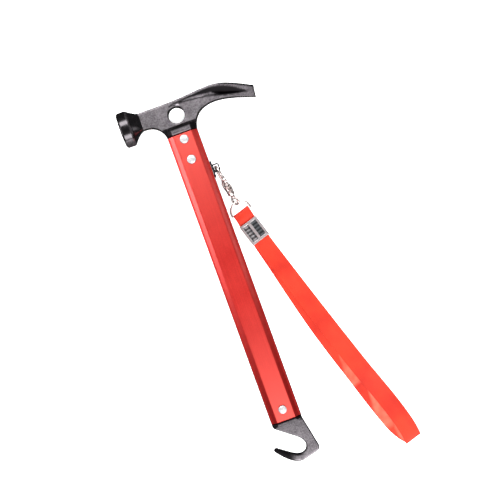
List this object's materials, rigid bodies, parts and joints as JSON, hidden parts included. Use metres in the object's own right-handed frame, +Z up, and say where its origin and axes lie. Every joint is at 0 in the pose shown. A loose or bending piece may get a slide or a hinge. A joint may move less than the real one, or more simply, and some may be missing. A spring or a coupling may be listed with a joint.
{
  "type": "camping hammer with wrist lanyard",
  "caption": "Short hammer with a hollow handle, round striking face, eye hole, curved claw, a peg-pulling tail hook and a clip-on wrist strap.",
  "frame": {"origin": "Middle of the footprint of the hammer and its strap, on the surface that the hammer lies on.", "axes": "The hammer lies flat. +Y runs along the handle towards the head, the striking face looks along -X, the claw points along +X, and +Z is up, across the head's thickness."},
  "size_m": [0.1488, 0.3416, 0.03],
  "materials": {
    "black_coating": "semi-gloss black coating over forged steel, with a fine grain on the flats",
    "red_anodised": "fine-blasted, red anodised, satin",
    "rivet_metal": "bright domed rivet heads",
    "black_trim": "satin black",
    "nickel_plating": "bright plated, polished",
    "spring_steel": "plain wire",
    "crimp_metal": "bright plated sheet with pressed windows and ribs",
    "red_webbing": "smooth satin woven tape"
  },
  "bodies": {
    "hammer": {"hammer_head": "black_coating", "handle_tube": "red_anodised", "tail_hook": "black_coating", "head_rivet_upper": "rivet_metal", "head_rivet_lower": "rivet_metal", "tail_rivet": "rivet_metal", "lanyard_eyelet": "black_trim"},
    "clasp": {"clasp_body": "nickel_plating", "gate_pivot_pin": "nickel_plating", "gate_spring": "spring_steel"},
    "gate": {"clasp_gate": "nickel_plating"},
    "swivel": {"swivel_eye": "nickel_plating"},
    "ring": {"d_ring": "nickel_plating"},
    "strap": {"wrist_strap": "red_webbing", "strap_crimp": "crimp_metal"}
  },
  "joints": [
    {"name": "clasp_swing", "type": "hinge", "parent": "hammer", "child": "clasp", "pos_m": [-0.0109, 0.10159, 0.015], "axis": [0, 0, 1], "range_deg": [-3, 90]},
    {"name": "gate_open", "type": "hinge", "parent": "clasp", "child": "gate", "pos_m": [-0.00685, 0.08251, 0.01307], "axis": [-0.9668, -0.2188, 0.132], "range_deg": [0, 26], "stiffness_Nm_per_rad": 0.03, "springref_deg": -11.46},
    {"name": "swivel_turn", "type": "hinge", "parent": "clasp", "child": "swivel", "pos_m": [-0.00656, 0.07742, 0.00678], "axis": [0.1679, -0.9333, -0.3173], "continuous": true},
    {"name": "ring_tilt", "type": "hinge", "parent": "swivel", "child": "ring", "pos_m": [-0.00508, 0.06912, 0.004], "axis": [-0.9848, -0.1736, 0], "range_deg": [-10, 60]},
    {"name": "strap_fold", "type": "hinge", "parent": "ring", "child": "strap", "pos_m": [-0.00339, 0.05952, 0.0023], "axis": [-0.9848, -0.1736, 0], "range_deg": [-45, 70]}
  ]
}
